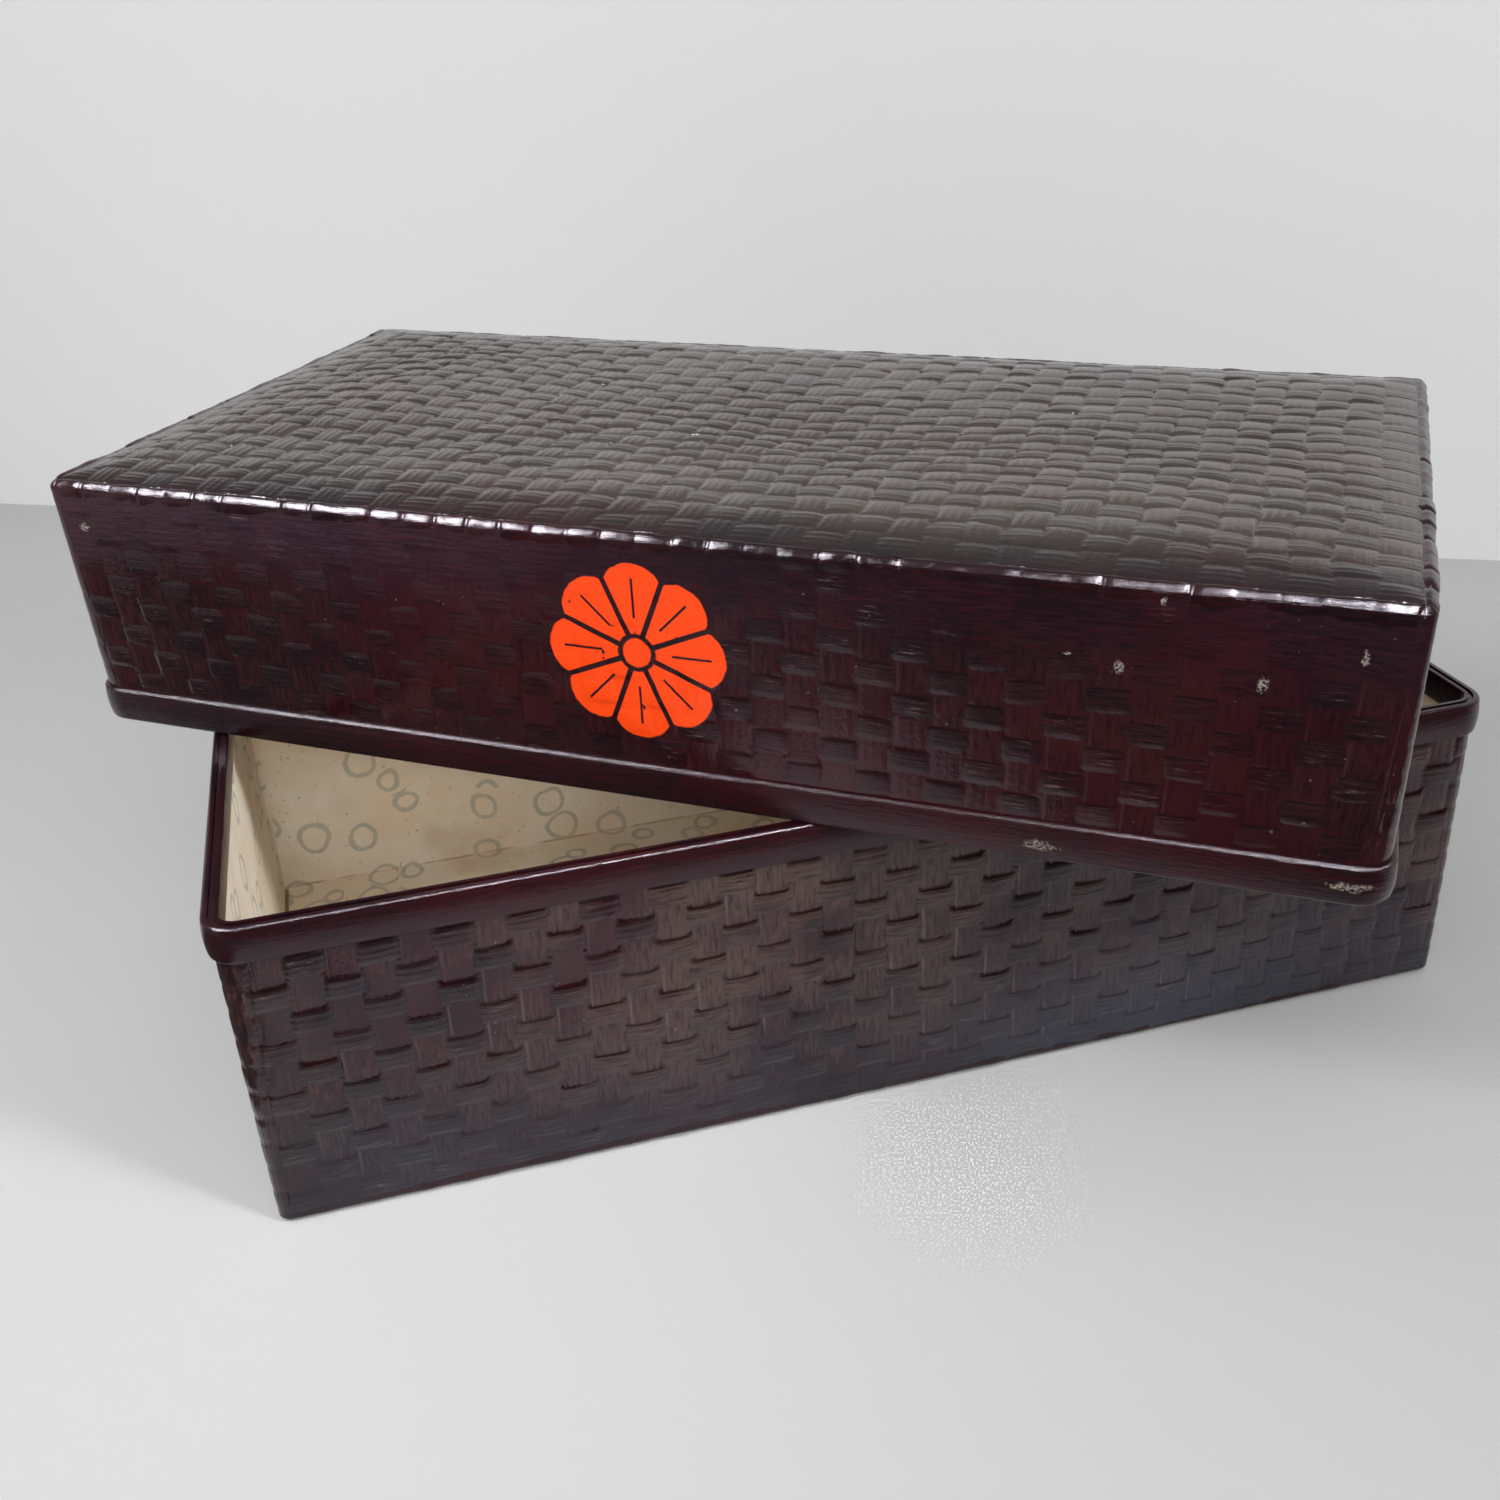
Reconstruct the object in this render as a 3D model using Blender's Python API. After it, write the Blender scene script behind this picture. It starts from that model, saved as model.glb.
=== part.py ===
"""Clothes chest of woven bamboo under lacquered paper: an open base and a slip-over lid.

Each half is modelled in its own frame, with its closed end at z = 0 and its mouth at the top.
From outside in it has a paper skin, a bamboo core and a paper lining, with a binding round the
closed edge and a hoop on each side of the core at the mouth. The lid is the same kind of half,
larger by the slip fit, turned over and laid askew on the open base.
Lengths are in metres, +Z is up, and the origin is under the middle of the base.
"""
import math

import bmesh
import bpy

# Outer sizes over the woven walls
BASE_LENGTH = 0.870
BASE_WIDTH = 0.414
BASE_HEIGHT = 0.2365
LID_HEIGHT = 0.183

# Layers of a wall, and the space kept between neighbouring pieces
SKIN = 0.0009
CORE = 0.0025
LINING = 0.0006
GAP = 0.0003

# Rounds: vertical corners at the closed end and at the mouth, and the edge of the closed end
CLOSED_RADIUS = 0.008
MOUTH_RADIUS = 0.019
EDGE_RADIUS = 0.005
CORNER_STEPS = 4

# Rim: two hoops clamp the core, whose edge lies sunk between them
HOOP_HEIGHT = 0.0254
HOOP_PROUD = 0.0045
HOOP_EDGE = 0.0016
INNER_HOOP_HEIGHT = 0.020
INNER_HOOP_THICKNESS = 0.0038
INNER_HOOP_EDGE = 0.0010
CORE_SUNK = 0.0015

# Bindings round the closed edges: height up the wall and width across the closed end
BASE_BINDING_HEIGHT = 0.019
LID_BINDING_HEIGHT = 0.024
BINDING_WIDTH = 0.018

# Plain weave: spacing of stakes and weavers, and how far a weaver arches over a stake
STAKE_PITCH = 0.0228
BASE_WEAVER_PITCH = 0.0209
LID_WEAVER_PITCH = 0.0191
TOP_WEAVER_PITCH = 0.0209
RELIEF = 0.0012

# Angle of a corner left open between two lining sheets
LINING_SEAM = math.radians(5)

# Fit of the lid over the base, and where it lies when set down askew
SLIP_CLEARANCE = 0.0015
LID_X = -0.023
LID_Y = 0.036
LID_TURN = math.radians(-35.3)

# Depths of the layers below the outer face of a wall
CORE_DEPTH = SKIN + GAP
LINING_DEPTH = CORE_DEPTH + CORE + GAP
CAVITY_DEPTH = LINING_DEPTH + LINING
MOUTH_DEPTH = LINING_DEPTH + INNER_HOOP_THICKNESS

# Finishes: base colour, roughness
LACQUER = ("maroon_lacquer", (0.040, 0.011, 0.013), 0.28)
RIM_LACQUER = ("rim_lacquer", (0.045, 0.009, 0.011), 0.22)
BAMBOO = ("split_bamboo", (0.420, 0.300, 0.150), 0.55)
LINING_PAPER = ("lining_paper", (0.640, 0.500, 0.340), 0.80)

SIGN_X = (1, -1, -1, 1)
SIGN_Y = (1, 1, -1, -1)
BACK, LEFT, FRONT, RIGHT = range(4)


class Half:
    """Sizes of one half of the chest and the curves that its pieces follow."""

    def __init__(self, name, length, width, height, weaver_pitch, binding_height):
        self.name = name
        self.length = length
        self.width = width
        self.height = height
        self.weaver_pitch = weaver_pitch
        self.binding_height = binding_height

    def radius(self, z):
        """Corner radius of the wall's outer face, wider towards the mouth."""
        return CLOSED_RADIUS + (MOUTH_RADIUS - CLOSED_RADIUS) * z / self.height

    def corner_point(self, corner, offset, z, share):
        """Point on a rounded corner, counted counter-clockwise; share runs over its quarter turn."""
        radius = max(self.radius(z) + offset, 0)
        angle = (corner + share) * math.pi / 2
        x = SIGN_X[corner % 4] * (self.length / 2 + offset - radius) + radius * math.cos(angle)
        y = SIGN_Y[corner % 4] * (self.width / 2 + offset - radius) + radius * math.sin(angle)
        return (x, y, z)

    def arc(self, corner, offset, z, first=0.0, last=1.0):
        """Points along part of a rounded corner."""
        shares = [first + (last - first) * step / CORNER_STEPS for step in range(CORNER_STEPS + 1)]
        return [self.corner_point(corner, offset, z, share) for share in shares]

    def ring(self, offset, z):
        """Closed outline at height z, the given distance outside the wall's outer face."""
        return [point for corner in range(4) for point in self.arc(corner, offset, z)]

    def run(self, side, offset, z):
        """Open line along one wall, from the middle of one corner to the middle of the next."""
        quarter = math.pi / 2
        seam = LINING_SEAM / quarter / 2
        start = self.arc(side, offset, z, 0.5 + seam, 1.0)
        return start + self.arc(side + 1, offset, z, 0.0, 0.5 - seam)

    def edge_offset(self, depth, z):
        """Offset of a layer at height z, where it rounds the edge of the closed end."""
        if z >= EDGE_RADIUS:
            return -depth
        across = max(EDGE_RADIUS - depth, 0)
        rise = EDGE_RADIUS - z
        return math.sqrt(max(across * across - rise * rise, 0)) - max(EDGE_RADIUS, depth)


def finish_material(finish):
    """Principled material for a finish, made once."""
    name, colour, roughness = finish
    if name in bpy.data.materials:
        return bpy.data.materials[name]
    material = bpy.data.materials.new(name)
    material.use_nodes = True
    shader = material.node_tree.nodes["Principled BSDF"]
    shader.inputs["Base Color"].default_value = (*colour, 1.0)
    shader.inputs["Roughness"].default_value = roughness
    shader.inputs["Metallic"].default_value = 0.0
    return material


def add_piece(name, bm, finish, frame):
    """Welds a piece's faces into one closed solid and hangs it on its half's frame."""
    weld_distance = 1e-6
    sharp_angle = math.radians(35)
    bmesh.ops.remove_doubles(bm, verts=bm.verts, dist=weld_distance)
    bmesh.ops.recalc_face_normals(bm, faces=bm.faces)
    mesh = bpy.data.meshes.new(name)
    bm.to_mesh(mesh)
    bm.free()
    mesh.shade_smooth()
    mesh.set_sharp_from_angle(angle=sharp_angle)
    mesh.materials.append(finish_material(finish))
    piece = bpy.data.objects.new(name, mesh)
    piece.parent = frame
    bpy.context.collection.objects.link(piece)


def add_grid(bm, rows, closed):
    """Faces between neighbouring rows of points; closed rows meet themselves."""
    grid = [[bm.verts.new(point) for point in row] for row in rows]
    for row, above in zip(grid, grid[1:]):
        last = len(row) if closed else len(row) - 1
        for near in range(last):
            far = (near + 1) % len(row)
            bm.faces.new((row[near], row[far], above[far], above[near]))
    return grid


def swept_ring(rows):
    """Solid ring: the rows go once round its section and meet again."""
    bm = bmesh.new()
    add_grid(bm, rows + rows[:1], closed=True)
    return bm


def lofted_slab(rows):
    """Solid slab: outlines one above the other, capped at both ends."""
    bm = bmesh.new()
    grid = add_grid(bm, rows, closed=True)
    bm.faces.new(grid[0])
    bm.faces.new(grid[-1])
    return bm


def sheet(outer_rows, inner_rows):
    """Thin solid between two open grids of points that match."""
    bm = bmesh.new()
    add_grid(bm, outer_rows, closed=False)
    add_grid(bm, inner_rows, closed=False)
    for end in (0, -1):
        add_grid(bm, [outer_rows[end], inner_rows[end]], closed=False)
        outer_end = [row[end] for row in outer_rows]
        inner_end = [row[end] for row in inner_rows]
        add_grid(bm, [outer_end, inner_end], closed=False)
    return bm


def zip_lines(bm, left, right):
    """Triangles between two lines of vertices that may differ in number."""
    near_left = 0
    near_right = 0
    last_left = len(left) - 1
    last_right = len(right) - 1
    while near_left < last_left or near_right < last_right:
        left_share = (near_left + 1) / last_left
        right_share = (near_right + 1) / last_right
        if left_share <= right_share:
            bm.faces.new((left[near_left], left[near_left + 1], right[near_right]))
            near_left += 1
        else:
            bm.faces.new((left[near_left], right[near_right + 1], right[near_right]))
            near_right += 1


def woven_patch(bm, place, columns, rows, side_borders):
    """Flat stretch of plain weave: each weaver arches over every other stake.

    place(column, row, height) gives a point; the back of the patch is plain.
    """
    low = [[bm.verts.new(place(u, v, 0)) for u in range(columns + 1)] for v in range(rows + 1)]
    for v in range(rows):
        for u in range(columns):
            corners = (low[v][u], low[v][u + 1], low[v + 1][u + 1], low[v + 1][u])
            if (u + v) % 2:
                bm.faces.new(corners)
                continue
            crest_start = bm.verts.new(place(u + 0.5, v, RELIEF))
            crest_end = bm.verts.new(place(u + 0.5, v + 1, RELIEF))
            bm.faces.new((corners[0], crest_start, crest_end, corners[3]))
            bm.faces.new((crest_start, corners[1], corners[2], crest_end))
            bm.faces.new((corners[0], corners[1], crest_start))
            bm.faces.new((corners[2], corners[3], crest_end))
    back = [[bm.verts.new(place(u, v, -SKIN)) for u in (0, columns)] for v in (0, rows)]
    bm.faces.new((back[0][0], back[0][1], back[1][1], back[1][0]))
    for end in (0, -1):
        zip_lines(bm, low[end], back[end])
        if side_borders:
            zip_lines(bm, [row[end] for row in low], [row[end] for row in back])


def woven_corner(bm, half, corner, levels):
    """Round corner of the weave, where the weavers turn one above the other as low ridges."""
    low = [[bm.verts.new(point) for point in half.arc(corner, 0, z)] for z in levels]
    for row, above, z, z_above in zip(low, low[1:], levels, levels[1:]):
        crest_points = half.arc(corner, RELIEF, (z + z_above) / 2)[1:-1]
        crest = [bm.verts.new(point) for point in crest_points]
        for line, edge in ((row, 0), (above, 0), (row, -1), (above, -1)):
            inside = 1 if edge == 0 else -2
            bm.faces.new((line[edge], line[inside], crest[edge]))
        for edge in (0, -1):
            bm.faces.new((row[edge], crest[edge], above[edge]))
        for near in range(len(crest) - 1):
            bm.faces.new((row[near + 1], row[near + 2], crest[near + 1], crest[near]))
            bm.faces.new((crest[near], crest[near + 1], above[near + 2], above[near + 1]))
    back = [[bm.verts.new(point) for point in half.arc(corner, -SKIN, levels[end])] for end in (0, -1)]
    for line, other in ((low[0], back[0]), (low[-1], back[1]), (back[0], back[1])):
        for near in range(CORNER_STEPS):
            bm.faces.new((line[near], line[near + 1], other[near + 1], other[near]))


def count(length, pitch):
    """Whole number of strips in a length."""
    return max(round(length / pitch), 1)


def between(start, end, share):
    """Point part of the way along a straight line."""
    return tuple(a + (b - a) * share for a, b in zip(start, end))


def woven_side_skin(half):
    """Lacquered paper drawn over the woven walls, from the binding up to the outer hoop."""
    low_z = half.binding_height + GAP
    high_z = half.height - HOOP_HEIGHT - GAP
    rows = count(high_z - low_z, half.weaver_pitch)
    levels = [low_z + (high_z - low_z) * row / rows for row in range(rows + 1)]
    bm = bmesh.new()
    for side in range(4):
        wall_length = half.length if side in (BACK, FRONT) else half.width
        columns = count(wall_length - CLOSED_RADIUS - MOUTH_RADIUS, STAKE_PITCH)

        def place(column, row, height):
            z = levels[row]
            start = half.corner_point(side, height, z, 1)
            end = half.corner_point(side + 1, height, z, 0)
            return between(start, end, column / columns)

        woven_patch(bm, place, columns, rows, side_borders=False)
        woven_corner(bm, half, side, levels)
    return bm


def woven_top_skin(half):
    """Lacquered paper over the woven closed end, inside the binding."""
    length = half.length - 2 * (BINDING_WIDTH + GAP)
    width = half.width - 2 * (BINDING_WIDTH + GAP)
    columns = count(length, STAKE_PITCH)
    rows = count(width, TOP_WEAVER_PITCH)

    def place(column, row, height):
        return (length * (column / columns - 0.5), width * (row / rows - 0.5), -height)

    bm = bmesh.new()
    woven_patch(bm, place, columns, rows, side_borders=True)
    return bm


def plain_end_skin(half):
    """Flat lacquered paper under the closed end, inside the binding."""
    offset = -BINDING_WIDTH - GAP
    return lofted_slab([half.ring(offset, 0), half.ring(offset, SKIN)])


def binding(half, lift):
    """Paper strip folded round the closed edge; lift keeps it off the ground."""
    steps = 4
    turns = [math.pi / 2 * step / steps for step in range(steps + 1)]
    rows = [half.ring(0, half.binding_height)]
    for depth, order in ((0, turns), (SKIN, turns[::-1])):
        reach = EDGE_RADIUS - depth
        for turn in order:
            offset = reach * math.cos(turn) - EDGE_RADIUS
            z = EDGE_RADIUS - (reach - (lift if depth == 0 else 0)) * math.sin(turn)
            rows.append(half.ring(offset, z))
        if depth == 0:
            rows.append(half.ring(-BINDING_WIDTH, lift))
            rows.append(half.ring(-BINDING_WIDTH, SKIN))
    rows.append(half.ring(-SKIN, half.binding_height))
    return swept_ring(rows)


def side_core(half):
    """Woven bamboo wall, rounded in towards the closed end and sunk below the rim."""
    low_z = LINING_DEPTH
    outer_levels = [low_z, max(EDGE_RADIUS, low_z + GAP), half.height - CORE_SUNK]
    rows = [half.ring(half.edge_offset(CORE_DEPTH, z), z) for z in outer_levels]
    inner_offset = -CORE_DEPTH - CORE
    rows.append(half.ring(inner_offset, outer_levels[-1]))
    rows.append(half.ring(inner_offset, low_z))
    return swept_ring(rows)


def end_core(half):
    """Woven bamboo floor of the closed end, rounded at its edge."""
    levels = [CORE_DEPTH, CORE_DEPTH + CORE / 3, CORE_DEPTH + CORE]
    return lofted_slab([half.ring(half.edge_offset(CORE_DEPTH, z), z) for z in levels])


def hoop(half, seat_offset, face_offset, hoop_height, edge):
    """Bent strip round the mouth, seated against the core, with eased edges on its free side."""
    low_z = half.height - hoop_height
    high_z = half.height
    inward = math.copysign(1, seat_offset - face_offset)
    section = [
        (face_offset, low_z + edge),
        (face_offset, high_z - edge),
        (face_offset + inward * edge, high_z),
        (seat_offset - inward * edge / 2, high_z),
        (seat_offset, high_z - edge / 2),
        (seat_offset, low_z),
        (face_offset + inward * edge, low_z),
    ]
    return swept_ring([half.ring(offset, z) for offset, z in section])


def lining_sheet(half):
    """One length of paper: down the front wall, across the closed end and up the back wall."""
    top_z = half.height - INNER_HOOP_HEIGHT - GAP
    layers = []
    for depth in (LINING_DEPTH, CAVITY_DEPTH):
        front = [half.run(FRONT, -depth, z) for z in (top_z, depth)]
        back = [half.run(BACK, -depth, z)[::-1] for z in (depth, top_z)]
        layers.append(front + back)
    return sheet(*layers)


def lining_end(half, side):
    """Paper on one end wall, standing on the long sheet."""
    top_z = half.height - INNER_HOOP_HEIGHT - GAP
    low_z = CAVITY_DEPTH + GAP
    layers = []
    for depth in (LINING_DEPTH, CAVITY_DEPTH):
        layers.append([half.run(side, -depth, z) for z in (low_z, top_z)])
    return sheet(*layers)


def add_frame(name, location, rotation):
    """Empty that carries the pieces of one half."""
    frame = bpy.data.objects.new(name, None)
    frame.location = location
    frame.rotation_euler = rotation
    bpy.context.collection.objects.link(frame)
    return frame


def add_half(half, frame, end_name, end_skin, binding_lift):
    """All the pieces of one half, hung on its frame."""
    name = half.name
    outer_hoop = hoop(half, -SKIN, HOOP_PROUD, HOOP_HEIGHT, HOOP_EDGE)
    inner_hoop = hoop(half, -LINING_DEPTH, -MOUTH_DEPTH, INNER_HOOP_HEIGHT, INNER_HOOP_EDGE)
    add_piece(name + "_side_weave", side_core(half), BAMBOO, frame)
    add_piece(name + "_" + end_name + "_weave", end_core(half), BAMBOO, frame)
    add_piece(name + "_side_skin", woven_side_skin(half), LACQUER, frame)
    add_piece(name + "_" + end_name + "_skin", end_skin, LACQUER, frame)
    add_piece(name + "_edge_binding", binding(half, binding_lift), LACQUER, frame)
    add_piece(name + "_outer_hoop", outer_hoop, RIM_LACQUER, frame)
    add_piece(name + "_inner_hoop", inner_hoop, RIM_LACQUER, frame)
    add_piece(name + "_lining_sheet", lining_sheet(half), LINING_PAPER, frame)
    add_piece(name + "_lining_left", lining_end(half, LEFT), LINING_PAPER, frame)
    add_piece(name + "_lining_right", lining_end(half, RIGHT), LINING_PAPER, frame)


for old in list(bpy.data.objects):
    bpy.data.objects.remove(old, do_unlink=True)

# The lid slips over the base's hoop, so its size follows from the two rims
lid_growth = 2 * (HOOP_PROUD + SLIP_CLEARANCE + MOUTH_DEPTH)
base = Half("base", BASE_LENGTH, BASE_WIDTH, BASE_HEIGHT, BASE_WEAVER_PITCH, BASE_BINDING_HEIGHT)
lid = Half(
    "lid", BASE_LENGTH + lid_growth, BASE_WIDTH + lid_growth, LID_HEIGHT, LID_WEAVER_PITCH, LID_BINDING_HEIGHT
)

base_frame = add_frame("base_frame", (0, 0, 0), (0, 0, 0))
add_half(base, base_frame, "floor", plain_end_skin(base), binding_lift=GAP)

# The lid's frame stands on its lifting axis, with the closed end up
lid_location = (LID_X, LID_Y, BASE_HEIGHT + GAP + LID_HEIGHT)
lid_frame = add_frame("lid_frame", lid_location, (math.pi, 0, LID_TURN))
add_half(lid, lid_frame, "top", woven_top_skin(lid), binding_lift=0)
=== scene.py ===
"""Looks of a lidded clothes chest: woven bamboo under lacquered paper, hooped rims and a paper lining.

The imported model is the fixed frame, and every piece here sits where its solid does. Lengths are in metres,
+Z is up, and the base stands on the floor with its front wall towards -Y. The lid lies askew on the base.
"""
import math
import random

import bmesh
import bpy
from mathutils import Matrix, Vector, noise


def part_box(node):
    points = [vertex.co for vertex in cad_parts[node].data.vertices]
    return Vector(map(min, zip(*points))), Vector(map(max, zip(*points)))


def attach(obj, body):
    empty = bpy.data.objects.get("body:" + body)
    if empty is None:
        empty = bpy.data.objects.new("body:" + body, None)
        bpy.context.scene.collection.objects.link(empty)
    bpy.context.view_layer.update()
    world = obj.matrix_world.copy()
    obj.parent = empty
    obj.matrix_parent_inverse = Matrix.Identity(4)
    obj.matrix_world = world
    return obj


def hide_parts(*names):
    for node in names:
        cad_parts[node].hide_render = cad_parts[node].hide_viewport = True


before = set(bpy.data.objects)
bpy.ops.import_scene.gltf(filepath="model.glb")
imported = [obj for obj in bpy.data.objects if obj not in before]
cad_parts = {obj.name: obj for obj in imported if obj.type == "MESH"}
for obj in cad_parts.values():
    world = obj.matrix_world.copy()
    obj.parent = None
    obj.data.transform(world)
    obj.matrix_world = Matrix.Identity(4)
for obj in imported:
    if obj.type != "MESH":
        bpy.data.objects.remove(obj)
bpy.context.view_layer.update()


# Bamboo cores: two crossed layers of split bamboo that stiffen the walls and the closed ends.
# They are bare inside the layers of paper, and only their edges show, stained by the lacquer, between the
# hoops that clamp them at each mouth. Their solids are right as they are and only get their finish here.

class Wire:
    """A value in a finish's node tree. Arithmetic on it adds Math nodes."""

    def __init__(self, tree, socket=None):
        self.tree = tree
        self.socket = socket

    def node(self, kind, settings=None, sockets=None, result=0):
        """Adds any other node: its settings first, then the values or links of its sockets."""
        made = self.tree.nodes.new(kind)
        for name, value in (settings or {}).items():
            setattr(made, name, value)
        for name, value in (sockets or {}).items():
            if isinstance(value, Wire):
                self.tree.links.new(value.socket, made.inputs[name])
            else:
                made.inputs[name].default_value = value
        return Wire(self.tree, made.outputs[result])

    def also(self, result):
        """Another output of the same node."""
        return Wire(self.tree, self.socket.node.outputs[result])

    def maths(self, operation, *others):
        return self.node("ShaderNodeMath", {"operation": operation}, dict(enumerate((self, *others))))

    def __add__(self, other):
        return self.maths("ADD", other)

    def __mul__(self, other):
        return self.maths("MULTIPLY", other)

    def __sub__(self, other):
        return self.maths("SUBTRACT", other)

    def __rsub__(self, other):
        return self.node("ShaderNodeMath", {"operation": "SUBTRACT"}, {0: other, 1: self})

    __radd__ = __add__
    __rmul__ = __mul__

    def ramp(self, low, high):
        """0 below low, 1 above high and smooth between; low may be the greater one."""
        sockets = {0: self, 1: low, 2: high}
        return self.node("ShaderNodeMapRange", {"interpolation_type": "SMOOTHSTEP"}, sockets)

    def blend(self, low, high):
        """Colour from low to high by this value."""
        return self.node("ShaderNodeMix", {"data_type": "RGBA"}, {0: self, 6: low, 7: high}, 2)

    def scaled(self, x, y, z):
        """This vector with its parts multiplied."""
        return self.node("ShaderNodeVectorMath", {"operation": "MULTIPLY"}, {0: self, 1: (x, y, z)})

    def cloud(self, scale, detail=2.0, roughness=0.5):
        """Noise on this vector, about 0.5."""
        sockets = {"Vector": self, "Scale": scale, "Detail": detail, "Roughness": roughness}
        return self.node("ShaderNodeTexNoise", None, sockets)


def start_finish(name):
    """A new material with no nodes yet, and the start of its wiring."""
    material = bpy.data.materials.new(name)
    material.use_nodes = True
    material.node_tree.nodes.clear()
    return material, Wire(material.node_tree)


def end_finish(start, sockets, one_sided=False):
    """Joins the wiring to the surface, which is clear from behind if it is one-sided."""
    surface = start.node("ShaderNodeBsdfPrincipled", None, sockets)
    if one_sided:
        behind = start.node("ShaderNodeNewGeometry", None, None, "Backfacing")
        clear = start.node("ShaderNodeBsdfTransparent")
        surface = start.node("ShaderNodeMixShader", None, {0: behind, 1: surface, 2: clear})
    output = start.tree.nodes.new("ShaderNodeOutputMaterial")
    start.tree.links.new(surface.socket, output.inputs["Surface"])


def object_place(start):
    """Where a point of the object is, in metres."""
    return start.node("ShaderNodeTexCoord", None, None, "Object")


def part(vector, axis):
    """One part of a vector, counted from 0."""
    return vector.node("ShaderNodeSeparateXYZ", None, {0: vector}, axis)


def dress(piece, material):
    """Gives a piece one material on all its faces."""
    piece.data.materials.clear()
    piece.data.materials.append(material)


STRAW = (0.42, 0.30, 0.15, 1)
AGED_STRAW = (0.24, 0.15, 0.07, 1)
STAINED_EDGE = (0.016, 0.005, 0.006, 1)
MOUTH_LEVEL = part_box("base_outer_hoop")[1].z
STAIN_REACH = 0.006

bamboo, start = start_finish("bare_bamboo")
place = object_place(start)
fibre = place.scaled(1, 1, 30).cloud(40, 3)
from_mouth = (part(place, 2) - MOUTH_LEVEL).maths("ABSOLUTE")
stained = from_mouth.ramp(STAIN_REACH, STAIN_REACH / 2)
end_finish(start, {
    "Base Color": stained.blend(fibre.blend(AGED_STRAW, STRAW), STAINED_EDGE),
    "Roughness": 0.4 + 0.3 * fibre - 0.35 * stained,
    "Normal": start.node("ShaderNodeBump", None, {"Height": fibre, "Strength": 0.4, "Distance": 0.0004}),
})
for node in ("base_side_weave", "base_floor_weave", "lid_side_weave", "lid_top_weave"):
    dress(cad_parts[node], bamboo)


# Lacquered walls: thin paper pasted over the woven bamboo and brushed with dark maroon lacquer.
# The paper takes the relief of the plain weave, stakes standing and weavers lying, which is softest near
# the closed ends, and at the corners the weavers turn one above the other as ridges.

SKIN = 0.0009
STAKE_PITCH = 0.0228
CLOSED_RADIUS = 0.008
MOUTH_RADIUS = 0.019
WALL_SWELL = 0.0005
SIGN_X = (1, -1, -1, 1)
SIGN_Y = (1, 1, -1, -1)
BACK, LEFT, FRONT, RIGHT = range(4)


def ease(low, high, value):
    """0 below low, 1 above high and smooth between."""
    share = min(max((value - low) / (high - low), 0), 1)
    return share * share * (3 - 2 * share)


def waver(point, scale, seed):
    """Smooth noise at a point, from -1 to 1."""
    return noise.noise(Vector(point) * scale + Vector((seed * 7.3, seed * 3.1, seed * 5.7)))


class Half:
    """One half of the chest in its own frame, with its closed end at z = 0, and where it lies at rest."""

    def __init__(self, body, length, width, height, binding_height, rest, seed):
        self.body = body
        self.length = length
        self.width = width
        self.height = height
        self.binding_height = binding_height
        self.rest = rest
        self.seed = seed

    def swell(self, point):
        """How far the wall stands out there, uneven with age."""
        return WALL_SWELL * waver(point, 6, self.seed)

    def corner_point(self, corner, offset, z, share):
        radius = CLOSED_RADIUS + (MOUTH_RADIUS - CLOSED_RADIUS) * z / self.height
        radius = max(radius + offset, 0)
        angle = (corner + share) * math.pi / 2
        x = SIGN_X[corner % 4] * (self.length / 2 + offset - radius) + radius * math.cos(angle)
        y = SIGN_Y[corner % 4] * (self.width / 2 + offset - radius) + radius * math.sin(angle)
        return Vector((x, y, z))

    def wall_point(self, side, offset, z, share):
        return self.corner_point(side, offset, z, 1).lerp(self.corner_point(side + 1, offset, z, 0), share)

    def walk(self, stake_lines, corner_steps):
        """Stations once round: wall or corner, which one, stake there, stakes on it and the count so far."""
        stations = []
        count = 0
        for side in (FRONT, RIGHT, BACK, LEFT):
            wall = self.length if side in (FRONT, BACK) else self.width
            stakes = round((wall - CLOSED_RADIUS - MOUTH_RADIUS) / STAKE_PITCH)
            for stake in [whole + line for whole in range(stakes) for line in stake_lines]:
                stations.append(("wall", side, stake, stakes, count + stake))
            count += stakes
            for step in range(corner_steps):
                turn = step / corner_steps
                stations.append(("corner", side + 1, turn, 1, count + turn))
            count += 1
        stations.append(("wall", FRONT, 0, 1, count))
        return stations

    def at(self, station, offset, z, slide=0.0):
        """Point at a station, the given distance outside the wall, slid along it by a share of a stake."""
        kind, index, stake, stakes, _ = station
        if kind == "corner":
            return self.corner_point(index, offset, z, stake)
        return self.wall_point(index, offset, z, (stake + slide) / stakes)


def add_piece(name, bm, half, material, slot, *nodes):
    """Welds a mesh drawn in a half's frame, sets it where that half lies and lets it stand for its solids."""
    bmesh.ops.remove_doubles(bm, verts=bm.verts, dist=1e-6)
    bmesh.ops.transform(bm, matrix=half.rest, verts=bm.verts)
    bmesh.ops.recalc_face_normals(bm, faces=bm.faces)
    mesh = bpy.data.meshes.new(name)
    bm.to_mesh(mesh)
    bm.free()
    mesh.shade_smooth()
    mesh.set_sharp_from_angle(angle=math.radians(50))
    piece = bpy.data.objects.new(name, mesh)
    bpy.context.collection.objects.link(piece)
    dress(piece, material)
    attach(piece, half.body)
    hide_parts(*nodes)


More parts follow.
